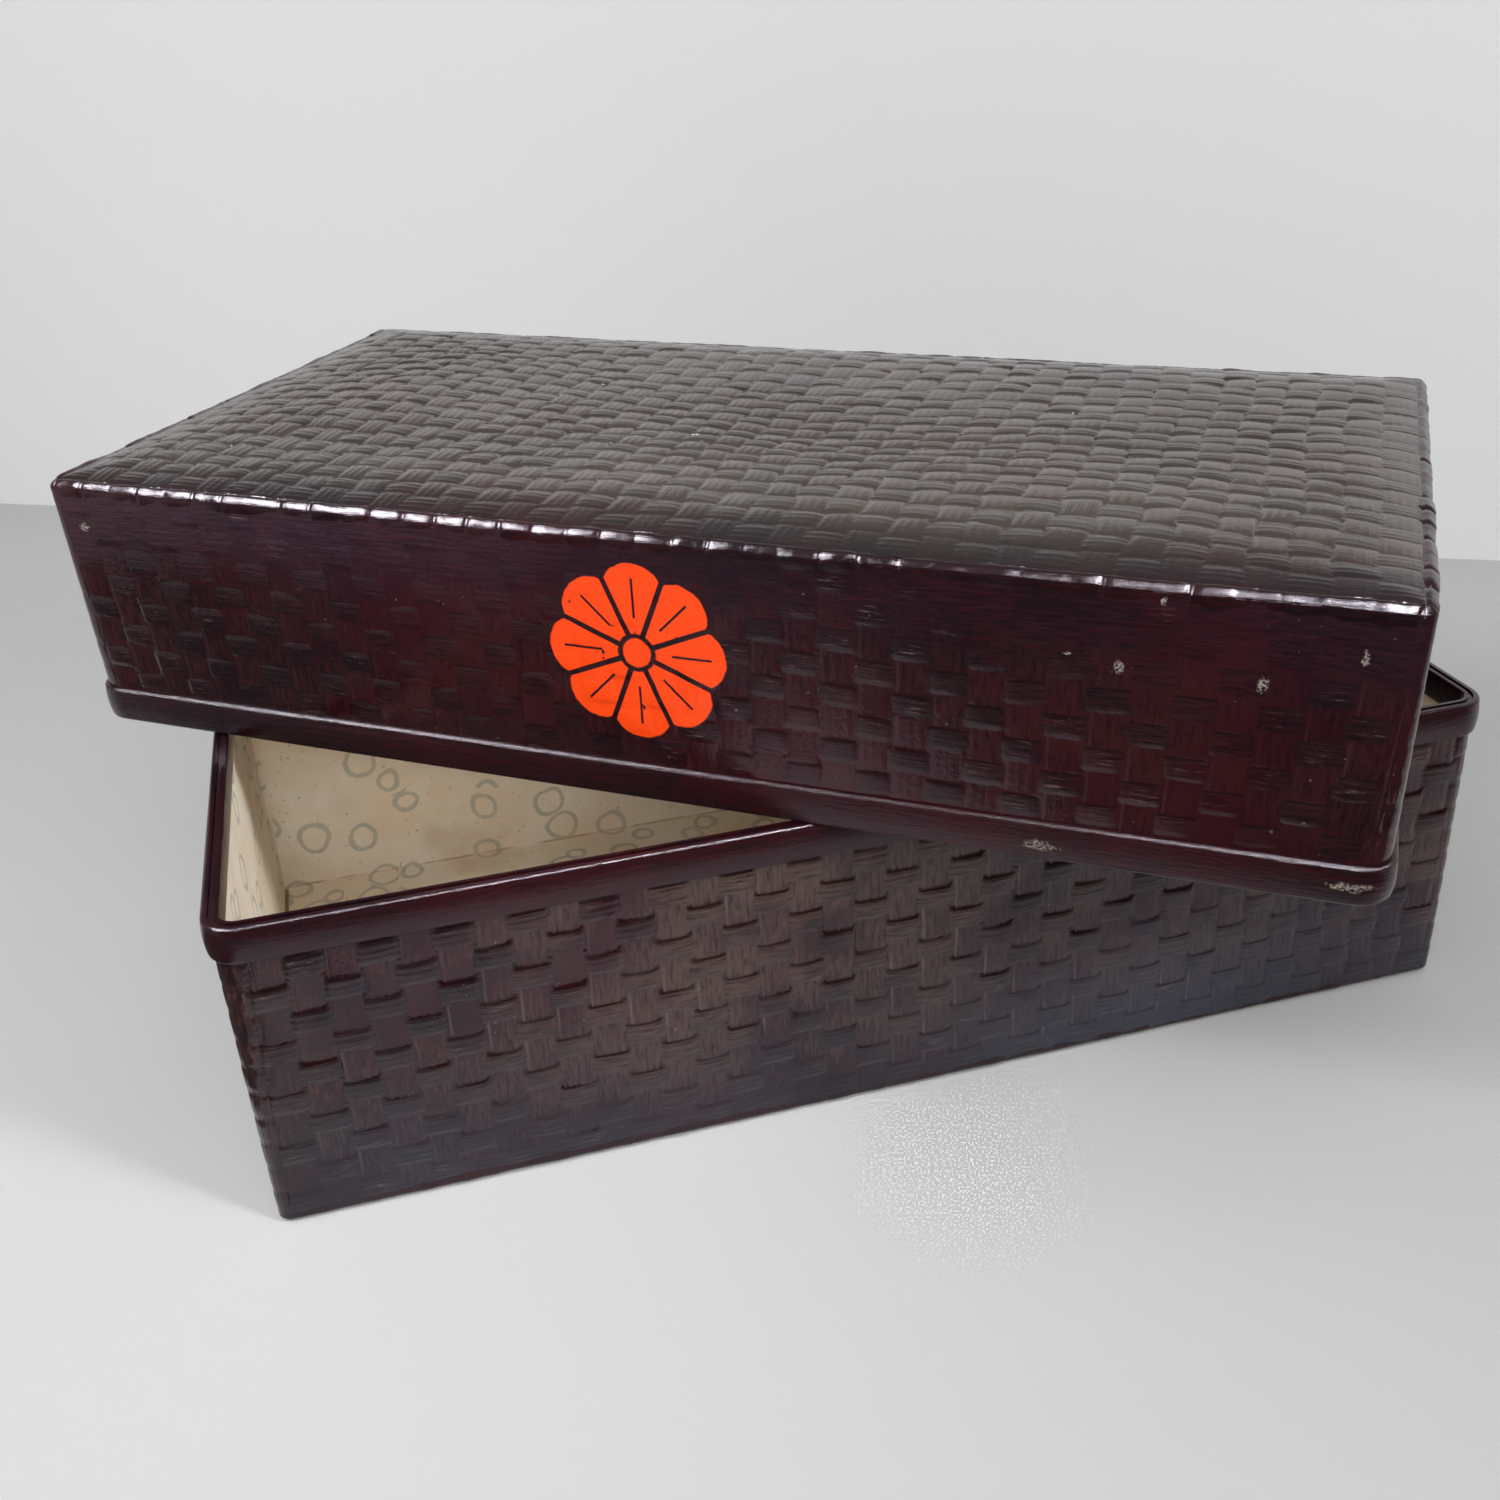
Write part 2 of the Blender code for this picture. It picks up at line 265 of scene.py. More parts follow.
def bent_grid(columns, rows, spot):
    """A grid whose points go where spot(column, row) says.

    It gives a point, where that lies in the weave or the flat sheet, its lift, whether a weaver is on top and
    the tone of its pad.
    """
    bm = bmesh.new()
    laid = bm.loops.layers.uv.new("laid")
    values = [bm.verts.layers.float.new(name) for name in ("lift", "weaver", "tone")]
    bmesh.ops.create_grid(bm, x_segments=columns, y_segments=rows, size=0.5)
    for vert in bm.verts:
        column = round((vert.co.x + 0.5) * columns)
        row = round((vert.co.y + 0.5) * rows)
        vert.co, laid_at, *found = spot(column, row)
        for layer, value in zip(values, found):
            vert[layer] = value
        for loop in vert.link_loops:
            loop[laid].uv = laid_at
    return bm


STAKE_SHARE = 0.74
WEAVER_SHARE = 0.66
STAKE_LINES = (0, 0.06, 0.12, 0.30, 0.50, 0.70, 0.88, 0.94)
WEAVER_LINES = (0, 0.05, 0.11, 0.17, 0.33, 0.50, 0.67, 0.83, 0.89, 0.95)
CORNER_STEPS = 9
WEAVE_START = 0.0065
UNDERLAP = 0.003
LAP_DEPTH = 0.0005
DEEPEST = 0.0008
HOOP_HEIGHT = 0.0254


class Strips:
    """How woven strips are shaped.

    They are crowned across. The weavers bend sharply where bend is 0 and roundly where it is 1. The stakes'
    edges have a slope, and they bow from 0, where they stay straight, to 1, where they bend as weavers do.
    The last two are the strips' shares of their pitch.
    """

    def __init__(self, crown, bend, stake_slope, bow=0.0, stake_share=STAKE_SHARE, weaver_share=WEAVER_SHARE):
        self.crown = crown
        self.bend = bend
        self.stake_slope = stake_slope
        self.bow = bow
        self.stake_share = stake_share
        self.weaver_share = weaver_share


def plain_weave(u, v, seed, strips, upward=0, turn=None):
    """Plain weave under paper: height, from -0.5 in gaps to 1 on crests, weaver on top, and tone of the pad.

    Weavers go in front of one stake and behind the next. Each pad is tilted a little by chance, and from its
    edges the paper slopes down to what lies under it. Where upward is the way up in v, 1 or -1, the weavers'
    upper edges slope gently and their lower ones, where the paper has sagged, steeply. At a corner every
    weaver is on top, and turn is the share of the corner.
    """
    gap = -0.55
    stake_level = 0.10
    upper_slope = 5.5
    lower_slope = 11.0
    tilt = 1.6
    column = math.floor(u)
    row = math.floor(v)
    x = u - column - 0.5
    y = v - row - 0.5
    over_stake = turn is not None or (column + row) % 2 == 0
    along = abs(math.cos(math.pi * x)) ** strips.bend
    if turn is not None:
        along = min(0.3 + 4 * min(turn, 1 - turn), 1)
    bowed = abs(math.cos(math.pi * y)) ** strips.bend
    weaver_height = along if over_stake else -along
    stake_height = stake_level + strips.bow * ((-bowed if over_stake else bowed) - stake_level)
    mean_slope = (upper_slope + lower_slope) / 2
    less_above = (upper_slope - lower_slope) / 2
    slope = mean_slope + less_above * math.copysign(upward, upward * y)
    weaver_height -= slope * max(abs(y) - strips.weaver_share / 2, 0)
    weaver_height -= strips.crown * (2 * y / strips.weaver_share) ** 2
    stake_height -= strips.stake_slope * max(abs(x) - strips.stake_share / 2, 0)
    stake_height -= strips.crown / 2 * (2 * x / strips.stake_share) ** 2
    weaver = weaver_height > stake_height
    if weaver and not over_stake:
        column += 1 if x > 0 else -1
    if over_stake and not weaver:
        row += 1 if y > 0 else -1
    dice = noise.cell_vector(Vector((column + 0.5, row + 0.5, seed + 0.5)))
    leaning = (dice.x - 0.5) * (u - column - 0.5) + (dice.y - 0.5) * (v - row - 0.5)
    return max(weaver_height, stake_height, gap) + tilt * leaning, float(weaver and turn is None), dice.z


def warped(line, nominal, share):
    """Moves a line within its cell so that a strip of the nominal share gets its own share of the cell."""
    edge = (1 - nominal) / 2
    moved_edge = (1 - share) / 2
    whole = math.floor(line)
    inside = line - whole
    if inside < edge:
        return whole + inside * moved_edge / edge
    if inside > 1 - edge:
        return whole + 1 - (1 - inside) * moved_edge / edge
    return whole + 0.5 + (inside - 0.5) * share / nominal


def woven_wall(half, rows, relief, softest, soft_to, strips, upward, seed):
    """Ring of papered weave from the folded edge up to behind the hoop, closed at its back.

    Its relief grows from the softest share of itself at the folded edge to all of it at soft_to, and stays
    outside the bamboo.
    """
    rise = 0.3
    corner_share = 0.45
    narrower = -0.09
    wider = 0.07
    dice = random.Random(seed)
    stations = half.walk(STAKE_LINES, CORNER_STEPS)
    stakes_round = math.ceil(stations[-1][4]) + 1
    stake_widths = [STAKE_SHARE + dice.uniform(narrower, wider) for _ in range(stakes_round)]
    low = WEAVE_START
    high = half.height - HOOP_HEIGHT
    levels = [row + line for row in range(rows) for line in WEAVER_LINES] + [rows]
    hidden = [(-SKIN / 2, high + UNDERLAP), (-SKIN, high + UNDERLAP), (-SKIN - LAP_DEPTH, low - UNDERLAP)]
    hidden.append((-LAP_DEPTH, low - UNDERLAP))

    def spot(column, row):
        station = stations[column]
        kind, _, stake, stakes, u = station
        if row == 0 or row > len(levels):
            offset, z = hidden[row - 1 - len(levels)] if row else hidden[-1]
            return half.at(station, offset, z), (u, rows * (z - low) / (high - low)), 0, 0, 0.5
        v = levels[row - 1]
        z = low + (high - low) * v / rows
        here = half.at(station, 0, z)
        ends = ease(0, 1.2, v) * ease(0, 1.2, rows - v)
        weaver_width = WEAVER_SHARE + 0.07 * waver(here, 9, seed + math.floor(v))
        v_moved = warped(v, WEAVER_SHARE, weaver_width) + 0.16 * ends * waver(here, 7, seed + 1)
        slide = 0
        turn = stake
        if kind == "wall":
            turn = None
            from_corner = min(stake, stakes - stake)
            width = stake_widths[math.floor(u)] + 0.04 * waver(here, 25, seed + 2)
            slide = warped(stake, STAKE_SHARE, width) - stake
            slide += 0.12 * ease(0, 1.5, from_corner) * waver(here, 11, seed + 3)
        height, weaver, tone = plain_weave(u, v, seed, strips, upward, turn)
        strength = relief * (softest + (1 - softest) * ease(low, soft_to, z))
        strength *= 1 + 0.30 * waver(here, 30, seed + 4)
        strength *= ease(0, 0.7, v) * (0.6 + 0.4 * ease(0, 1.2, rows - v))
        strength *= 1 if turn is None else corner_share
        offset = max(strength * (height + rise) + half.swell(here), -DEEPEST)
        z = low + (high - low) * v_moved / rows
        return half.at(station, offset, z, slide), (u, v), height, weaver, tone

    return bent_grid(len(stations) - 1, len(levels) + len(hidden), spot)


BASE_BINDING_HEIGHT = 0.019
LID_BINDING_HEIGHT = 0.024
LID_GROWTH = 0.0276
LID_TURN = math.radians(-35.3)

base_low, base_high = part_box("base_edge_binding")
base_size = base_high - base_low
base = Half("base", base_size.x, base_size.y, MOUTH_LEVEL, BASE_BINDING_HEIGHT, rest=Matrix(), seed=16)
lid_low, lid_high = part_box("lid_edge_binding")
lid_middle = (lid_low + lid_high) / 2
lid_rest = Matrix.Translation((lid_middle.x, lid_middle.y, lid_high.z)) @ Matrix.Rotation(LID_TURN, 4, "Z")
lid_height = lid_high.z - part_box("lid_outer_hoop")[0].z
lid = Half(
    "lid", base.length + LID_GROWTH, base.width + LID_GROWTH, lid_height, LID_BINDING_HEIGHT,
    rest=lid_rest @ Matrix.Diagonal((1, 1, -1, 1)), seed=28,
)

DEEP_MAROON = (0.0240, 0.0022, 0.0035, 1)
BLACKENED = (0.0042, 0.0015, 0.0025, 1)
BROWNED = (0.054, 0.031, 0.022, 1)
# Dark of lacquer gathered in the weave's steps, also used to paint their shade.
POOL_AND_SHADE = (0.0070, 0.0008, 0.0010, 1)
# Pale of scuffed lacquer, also used for painted highlights and glints.
SCUFF_AND_HIGHLIGHT = (0.110, 0.083, 0.072, 1)
# Colours of a painted sheen of reflected light in the lacquer.
BLUE_SHEEN = (0.038, 0.044, 0.064, 1)
VIOLET_SHEEN = (0.056, 0.019, 0.036, 1)
RIBS = 4
LACQUER_GLOSS = {"IOR": 1.5, "Specular Tint": (0.94, 0.89, 1.0, 1)}


def laid_place(start):
    """Where a point lies in the weave, counted in strips, or on the flat sheet."""
    return start.node("ShaderNodeUVMap", {"uv_map": "laid"})


def attribute(start, name):
    """One of the values that bent_grid keeps at each point."""
    return start.node("ShaderNodeAttribute", {"attribute_name": name}, None, "Fac")


def woven_lacquer(start, upper_edge, woven_to, redness, brownness, ribbing, painted_sheen=None):
    """Colour, roughness and fine height of lacquer brushed over papered weave.

    upper_edge is where a weaver's upper edge lies in its cell, 0 or 1: lacquer gathers in the step there,
    with painted shade.
    woven_to is how many rows from the folded edge the strips show fully. redness and brownness say how much
    of the lacquer shows red and has rubbed through to brown, and ribbing how far the grain of the strips is
    felt.
    painted_sheen, a painted reflection strongest at the folded edge, is its share, colour and reach in rows.
    """
    weave = laid_place(start)
    place = object_place(start)
    weaver = attribute(start, "weaver")
    lift = attribute(start, "lift")
    tone = attribute(start, "tone")
    u = part(weave, 0)
    v = u.also(1)
    lying = weave.scaled(1.3, 9, 1).cloud(1, 5, 0.68)
    standing = weave.scaled(9, 1.3, 1).cloud(1, 5, 0.68)
    bare_weave = v.ramp(woven_to / 7, woven_to)
    grain = lying + (1 - weaver) * bare_weave * (standing - lying)
    wander = 0.06 * place.cloud(60)
    standing_ribs = ((u + wander) * (2 * math.pi * RIBS)).maths("COSINE")
    lying_ribs = ((v + wander) * (2 * math.pi * RIBS)).maths("COSINE")
    ribs = standing_ribs + weaver * (lying_ribs - standing_ribs)

    def split(along, strips, rarity):
        """Grooves where a strip has split along its length, on some strips only."""
        strip = {"W": along.maths("FLOOR")}
        chance = along.node("ShaderNodeTexWhiteNoise", {"noise_dimensions": "1D"}, strip)
        groove = ((along * strips).maths("FRACT") - 0.5).maths("ABSOLUTE").ramp(0.38, 0.5)
        return groove * chance.ramp(rarity, rarity + 0.05)

    splits = (1 - weaver) * split(u, 4, 0.55) + weaver * split(v, 4, 0.75)
    patches = place.cloud(7, 4)
    rubbed = place.cloud(11, 3).ramp(0.45, 0.68)
    # The same edge of each bare stake gets a painted highlight, as much as brownness says, joined to the real
    # wear on the crests.
    stake_edge_highlight = (u.maths("FRACT") - 0.13).maths("ABSOLUTE").ramp(0.05, 0.02) * (1 - weaver) * bare_weave
    wear_and_highlight = (lift.ramp(0.5, 1.0) * grain.ramp(0.54, 0.66)).maths("MAXIMUM", stake_edge_highlight * brownness) * rubbed
    # Painted shade, partly lacquer gathered there: darker along each weaver's upper step and in the grooves
    # of split strips.
    pool_and_shade = weaver * bare_weave * (v.maths("FRACT") - upper_edge).maths("ABSOLUTE").ramp(0.20, 0.13)
    split_depth = min(ribbing, 0.5)
    pool_and_shade = pool_and_shade.maths("MAXIMUM", splits * (0.8 * split_depth))
    # Small pale flecks, partly dust and partly painted glints.
    dust_and_glint_flecks = place.cloud(220, 1).ramp(0.77, 0.80) * place.cloud(6, 2).ramp(0.45, 0.6)
    red = 0.7 * grain + 0.5 * patches + 0.06 * tone + 0.07 * (1 - weaver) * bare_weave + redness
    colour = red.ramp(0.48, 0.78).blend(BLACKENED, DEEP_MAROON)
    browned = (place.cloud(16, 3) + 0.12 * tone).ramp(0.38, 0.66) * v.ramp(0.5, 3.5) * grain.ramp(0.28, 0.6)
    colour = (browned * brownness).blend(colour, BROWNED)
    # A sheen of reflected light is painted into the colour, strongest next to the folded edge.
    if painted_sheen:
        sheen_share, sheen_colour, sheen_reach = painted_sheen
        sheen_mask = (0.6 * place.cloud(6, 3) + 0.4 * grain).ramp(0.3, 0.65)
        sheen_mask = sheen_mask * (0.15 + 0.85 * v.ramp(sheen_reach, 0.5))
        colour = (sheen_share * sheen_mask).blend(colour, sheen_colour)
    colour = (wear_and_highlight * 0.6).maths("MAXIMUM", dust_and_glint_flecks * 0.7).blend(colour, SCUFF_AND_HIGHLIGHT)
    colour = (pool_and_shade * 0.9).blend(colour, POOL_AND_SHADE)
    roughness = 0.04 + 0.09 * grain + 0.03 * patches + 0.03 * tone + 0.12 * wear_and_highlight
    height = grain * (0.25 + 0.75 * ribbing) + 0.3 * ribbing * ribs + 0.25 * place.cloud(260, 3)
    height = height - 0.5 * split_depth * splits
    return colour, roughness, height


def finish_lacquer(start, colour, roughness, height):
    """Joins a lacquer's wiring to the surface, with its fine height as bump."""
    bump = start.node("ShaderNodeBump", None, {"Height": height, "Strength": 0.6, "Distance": 0.0008})
    end_finish(start, {"Base Color": colour, "Roughness": roughness, "Normal": bump, **LACQUER_GLOSS})


base_wall_lacquer, start = start_finish("base_wall_lacquer")
place = object_place(start)
rightward = part(place, 0)
brownness = 0.3 + 0.7 * rightward.ramp(-0.36, -0.12)
# A bluish sheen of reflected light is painted on, strongest on the lower rows and a little right of the
# middle.
sheen_share = 0.42 + 0.35 * rightward.ramp(0.0, 0.15) * rightward.ramp(0.42, 0.30)
finish_lacquer(start, *woven_lacquer(
    start, upper_edge=1, woven_to=1.4, redness=-0.05, brownness=brownness, ribbing=0.5,
    painted_sheen=(sheen_share, BLUE_SHEEN, 6),
))
base_strips = Strips(crown=0.2, bend=0.4, stake_slope=9)
base_weave = woven_wall(
    base, rows=10, relief=0.0013, softest=0.55, soft_to=0.10, strips=base_strips, upward=1, seed=11,
)
add_piece("base_lacquered_wall", base_weave, base, base_wall_lacquer, "lacquered_paper", "base_side_skin")
dress(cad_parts["base_floor_skin"], base_wall_lacquer)

ROSETTE_RED = (0.78, 0.052, 0.002, 1)
ROSETTE_PLACE = (-0.0043, 0.105)
ROSETTE_RADIUS = 0.0605
BARE_PAPER = (0.30, 0.25, 0.20, 1)
WALL_CHIPS = (
    (-0.423, 0.152, 0.0040, 0.0034), (0.262, 0.137, 0.0030, 0.0010), (0.291, 0.132, 0.0030, 0.0040),
    (0.312, 0.175, 0.0018, 0.0034), (0.368, 0.131, 0.0026, 0.0052), (0.417, 0.152, 0.0020, 0.0045),
)


def on_lid_front(start):
    """How far a point is to the right of the lid front's middle, behind its face and above its mouth."""
    place = object_place(start)
    middle = lid.rest @ Vector((0, -lid.width / 2, lid.height))
    turned = {"Vector": place, "Location": middle, "Rotation": (0, 0, LID_TURN)}
    local = start.node("ShaderNodeMapping", {"vector_type": "TEXTURE"}, turned)
    right = part(local, 0)
    return right, right.also(1), right.also(2)


def distance(x, y):
    """Length of the line from (0, 0) to (x, y)."""
    return (x * x + y * y).maths("SQRT")


def chipped(start, chips):
    """1 where the lacquer has flaked off the lid's front.

    A chip is how far right of the middle, how far above the mouth, half its width and half its height.
    """
    right, behind, up = on_lid_front(start)
    place = object_place(start)
    speckled = place.cloud(650, 3, 0.65).ramp(0.42, 0.60)
    ragged = 1.6 * (place.cloud(260, 2) - 0.5)
    nearest = None
    for chip_right, chip_up, half_width, half_height in chips:
        away = distance((right - chip_right) * (1 / half_width), (up - chip_up) * (1 / half_height))
        nearest = away if nearest is None else nearest.maths("MINIMUM", away)
    return (nearest + ragged).ramp(1.2, 0.6) * speckled * behind.ramp(0.06, 0.05) * 0.75


def rosette(start):
    """1 on the paint of the eight-petalled rosette on the lid's front."""
    petals = 8
    hub = 0.17
    hub_gap = 0.035
    petal_gap = 0.10
    vein = 0.035
    right, behind, up = on_lid_front(start)
    x = (right - ROSETTE_PLACE[0]) * (1 / ROSETTE_RADIUS)
    y = (up - ROSETTE_PLACE[1]) * (1 / ROSETTE_RADIUS)
    place = object_place(start)
    brushed = (place.cloud(180, 2) - 0.5) * 0.03
    out = distance(x, y) + brushed
    turn = y.maths("ARCTAN2", x) * (petals / 2)
    lobe = turn.maths("COSINE").maths("ABSOLUTE")
    outline = 0.80 + 0.20 * lobe.maths("SQRT")
    soft = 0.02
    petal = (outline - out).ramp(0, soft) * (out - hub - hub_gap).ramp(0, soft)
    petal = petal * (lobe * out * (2 / petals) - petal_gap / 4).ramp(0, soft / 2)
    along_vein = turn.maths("SINE").maths("ABSOLUTE") * out * (2 / petals) - vein / 4
    veined = along_vein.ramp(soft / 2, 0) * (out - 0.38).ramp(0, soft) * (0.84 - out).ramp(0, soft)
    hub_disc = (hub - out).ramp(0, soft)
    paint = (petal * (1 - veined)).maths("MAXIMUM", hub_disc)
    flaked = place.cloud(130, 3).ramp(0.70, 0.74)
    return paint * (1 - flaked) * behind.ramp(0.06, 0.05)


lid_wall_lacquer, start = start_finish("lid_wall_lacquer")
rightward = on_lid_front(start)[0]
redness = 0.04 * rightward.ramp(-0.1, 0.2) - 0.05
# A violet sheen of reflected light is painted on the lid's front, more of it towards the left.
sheen_share = 0.16 + 0.30 * rightward.ramp(0.1, -0.42)
colour, roughness, height = woven_lacquer(
    start, upper_edge=0, woven_to=3.5, redness=redness, brownness=0.12, ribbing=0.1,
    painted_sheen=(sheen_share, VIOLET_SHEEN, 4),
)
painted = rosette(start)
bare = chipped(start, WALL_CHIPS)
colour = bare.blend(painted.blend(colour, ROSETTE_RED), BARE_PAPER)
roughness = roughness + 0.5 * bare + 0.1 * painted
finish_lacquer(start, colour, roughness, height - 1.5 * bare + 0.2 * painted)
lid_strips = Strips(crown=0.15, bend=0.55, stake_slope=2.5)
lid_weave = woven_wall(
    lid, rows=8, relief=0.00055, softest=0.22, soft_to=0.14, strips=lid_strips, upward=-1, seed=23,
)
add_piece("lid_lacquered_wall", lid_weave, lid, lid_wall_lacquer, "lacquered_paper", "lid_side_skin")


# Lid top: the same papered weave over the closed end of the lid, as far as its folded edges.
# The splints wander more here, some stand up in knots, and the whole top has sagged and swelled with age.

EDGE_RADIUS = 0.005
TOP_WEAVER_PITCH = 0.0209
TOP_RELIEF = 0.0012
TOP_SWELL = 0.0035
TOP_ROLL = 0.0045
TOP_ROLL_REACH = 0.020


def top_roll(inset):
    """How far a domed closed end stands above its edge, at a distance in from that edge."""
    return TOP_ROLL * (1 - math.exp(-inset / TOP_ROLL_REACH))


def woven_top(half, seed):
    """Sheet of papered weave over a closed end, with its border and back closed."""
    length = half.length - 2 * WEAVE_START
    width = half.width - 2 * WEAVE_START
    columns = round(length / STAKE_PITCH)
    rows = round(width / TOP_WEAVER_PITCH)
    across = [column + line for column in range(columns) for line in STAKE_LINES] + [columns]
    down = [row + line for row in range(rows) for line in WEAVER_LINES] + [rows]
    strips = Strips(crown=0.55, bend=0.6, stake_slope=7, bow=0.5, stake_share=0.80, weaver_share=0.73)

    def spot(column, row):
        u = across[column]
        v = down[row]
        here = Vector((length * (u / columns - 0.5), width * (v / rows - 0.5), 0))
        inside = ease(0, 2.2, min(u, columns - u)) * ease(0, 2.2, min(v, rows - v))
        height, weaver, tone = plain_weave(u, v, seed, strips)
        knot = 1 + 0.35 * waver(here, 38, seed + 1)
        lifted = TOP_RELIEF * height * (0.35 + 0.65 * inside) * knot
        lifted += TOP_SWELL * inside * (0.5 + waver(here, 5, seed + 2) + 0.35 * waver(here, 13, seed + 3))
        from_edge = min(length / 2 - abs(here.x), width / 2 - abs(here.y)) + WEAVE_START - EDGE_RADIUS
        lifted += top_roll(from_edge)
        if u in (0, columns) or v in (0, rows):
            lifted = top_roll(from_edge) - LAP_DEPTH
        well_inside = ease(0, 6, min(u, columns - u)) * ease(0, 6, min(v, rows - v))
        u_moved = u + inside * (0.30 * waver(here, 7, seed + 4) + 0.10 * waver(here, 30, seed + 5))
        v_moved = v + 2.3 * well_inside * waver(here, 3, seed + 6) + 0.12 * inside * waver(here, 30, seed + 7)
        x = length * (u_moved / columns - 0.5)
        y = width * (v_moved / rows - 0.5)
        return Vector((x, y, -lifted)), (u, v), height, weaver, tone

    bm = bent_grid(len(across) - 1, len(down) - 1, spot)
    border = [edge for edge in bm.edges if edge.is_boundary]
    folded = bmesh.ops.extrude_edge_only(bm, edges=border)["geom"]
    bmesh.ops.translate(bm, verts=[v for v in folded if isinstance(v, bmesh.types.BMVert)], vec=(0, 0, SKIN))
    rim = [edge for edge in folded if isinstance(edge, bmesh.types.BMEdge) and edge.is_boundary]
    bmesh.ops.holes_fill(bm, edges=rim, sides=0)
    return bm


DUST_AND_SHEEN = (0.105, 0.097, 0.080, 1)

top_lacquer, start = start_finish("lid_top_lacquer")
colour, roughness, height = woven_lacquer(
    start, upper_edge=0, woven_to=3.5, redness=-0.05, brownness=0.5, ribbing=0.5,
)
place = object_place(start)
# The top's grey is partly settled dust and partly painted sheen: paler on the crests as a painted highlight,
# and fading towards the front edge as painted darkening of the reflection there.
crest_sheen = attribute(start, "lift").ramp(0.1, 1.1)
weave = laid_place(start)
from_front = part(weave, 1) - 2.5 * place.cloud(6, 2)
dust_and_sheen = 0.15 + 0.25 * place.cloud(5, 3).ramp(0.2, 0.8) + 0.15 * crest_sheen
dust_and_sheen = dust_and_sheen * (0.2 + 0.8 * from_front.ramp(-1.0, 1.5))
finish_lacquer(start, dust_and_sheen.blend(colour, DUST_AND_SHEEN), roughness + 0.03, height)
add_piece("lid_lacquered_top", woven_top(lid, 37), lid, top_lacquer, "lacquered_paper", "lid_top_skin")


# Edge bindings: strips of lacquered paper folded over the edges of the closed ends.
# The stakes turn over the edge beneath them, so the rounded edge is a row of low bumps of uneven height, with
# notches between some of them.

def swept_ring(half, stations, section, lift):
    """Solid ring: a closed section of (offset, z, out, up) points carried round a half.

    lift(station, row) says how far a point is moved along its direction (out, up).
    """
    def spot(column, row):
        offset, z, out, up = section[row % len(section)]
        raised = lift(stations[column], row % len(section))
        point = half.at(stations[column], offset + out * raised, z + up * raised)
        return point, (stations[column][4], row), raised, 0, 0.5

    return bent_grid(len(stations) - 1, len(section), spot)


BINDING_WIDTH = 0.018
UNDER_SHEET = 0.0009
BUMPS = 0.0009


def edge_binding(half, bumps, ground, seed):
    """Folded paper strip; ground keeps it off what the half stands on, or is 0 on a domed end."""
    stations = half.walk(STAKE_LINES, CORNER_STEPS)
    sides = 6
    ends = 6
    turns = 9
    flattening = 1.4
    section = []
    for step in range(sides):
        z = half.binding_height + (EDGE_RADIUS - half.binding_height) * step / sides
        section.append((-UNDER_SHEET * (1 - step / sides), z, 1, 0))
    for step in range(turns):
        angle = math.pi / 2 * step / turns
        inset = EDGE_RADIUS * (1 - math.cos(angle) ** flattening)
        z = ground + (EDGE_RADIUS - ground) * (1 - math.sin(angle) ** flattening)
        section.append((-inset, z, 0.7, 0 if ground else -0.7))
    turned = len(section)
    for step in range(ends + 1):
        inset = EDGE_RADIUS + (BINDING_WIDTH - EDGE_RADIUS) * step / ends
        z = ground if ground else UNDER_SHEET * min(step, 1) - top_roll(inset - EDGE_RADIUS)
        section.append((-inset, z, 0, 0 if ground else -1))
    face = len(section)
    inner = section[-1][1] + SKIN
    section += [(-BINDING_WIDTH, inner, 0, 0), (-EDGE_RADIUS, SKIN, 0, 0)]
    section += [(-SKIN, EDGE_RADIUS, 0, 0), (-SKIN, half.binding_height, 0, 0)]

    def chance(stake):
        return noise.cell_vector(Vector((stake % stations[-1][4] + 0.5, 0.5, seed + 0.5)))

    def lift(station, row):
        if row >= face:
            return 0
        kind, index, _, _, u = station
        offset, z, _, _ = section[row]
        here = half.at(station, offset, z)
        on_end = kind == "wall" and index % 2 == LEFT % 2
        own = math.floor(u)
        x = u - own - 0.5
        dice = chance(own)
        beside = chance(own + (1 if x > 0 else -1))
        to_beside = ease(0.25, 0.5, abs(x)) / 2
        level = 0.2 + 0.8 * (dice.x * (1 - to_beside) + beside.x * to_beside)
        notch = ease(0.40, 0.5, abs(x)) * ease(0.4, 0.8, chance(own + (1 if x > 0 else 0)).y)
        near_edge = ease(sides - 4, sides + 2, row) * ease(face - 1, turned - 2, row)
        raised = bumps * (2 if on_end else 1) * (level - 0.9 * notch) * near_edge
        rough = (0.9 * waver(here, 60, seed) + 0.65 * waver(here, 150, seed)) * bumps * near_edge
        flush = half.swell(here) * (1 - ease(0, sides, row))
        return raised + rough + flush

    return swept_ring(half, stations, section, lift)


def brushed_lacquer(start, depth):
    """Colour, roughness and fine height, to a depth, of lacquer brushed along a rim or an edge."""
    weave = laid_place(start)
    place = object_place(start)
    streaks = weave.scaled(1.1, 1.0, 1).cloud(1, 5, 0.7)
    patches = place.cloud(7, 4)
    colour = (0.7 * streaks + 0.5 * patches).ramp(0.45, 0.75).blend(BLACKENED, DEEP_MAROON)
    roughness = 0.05 + 0.10 * streaks + 0.04 * patches
    height = depth * streaks + 0.25 * place.cloud(260, 3)
    return colour, roughness, height


edge_lacquer, start = start_finish("edge_lacquer")
finish_lacquer(start, *brushed_lacquer(start, 0.5))
base_edge = edge_binding(base, BUMPS, ground=0.0003, seed=41)
add_piece("base_lacquered_edge", base_edge, base, edge_lacquer, "lacquered_paper", "base_edge_binding")
lid_edge = edge_binding(lid, BUMPS, ground=0, seed=43)
add_piece("lid_lacquered_edge", lid_edge, lid, edge_lacquer, "lacquered_paper", "lid_edge_binding")


# Rim hoops: bent bamboo strips that clamp the core between them at each mouth, under gloss lacquer.
# The outer hoop stands proud with a slightly crowned face, and the inner one finishes the lining's edge.

LINING_DEPTH = 0.0040
MOUTH_DEPTH = 0.0078
HOOP_PROUD = 0.0045
INNER_HOOP_HEIGHT = 0.020


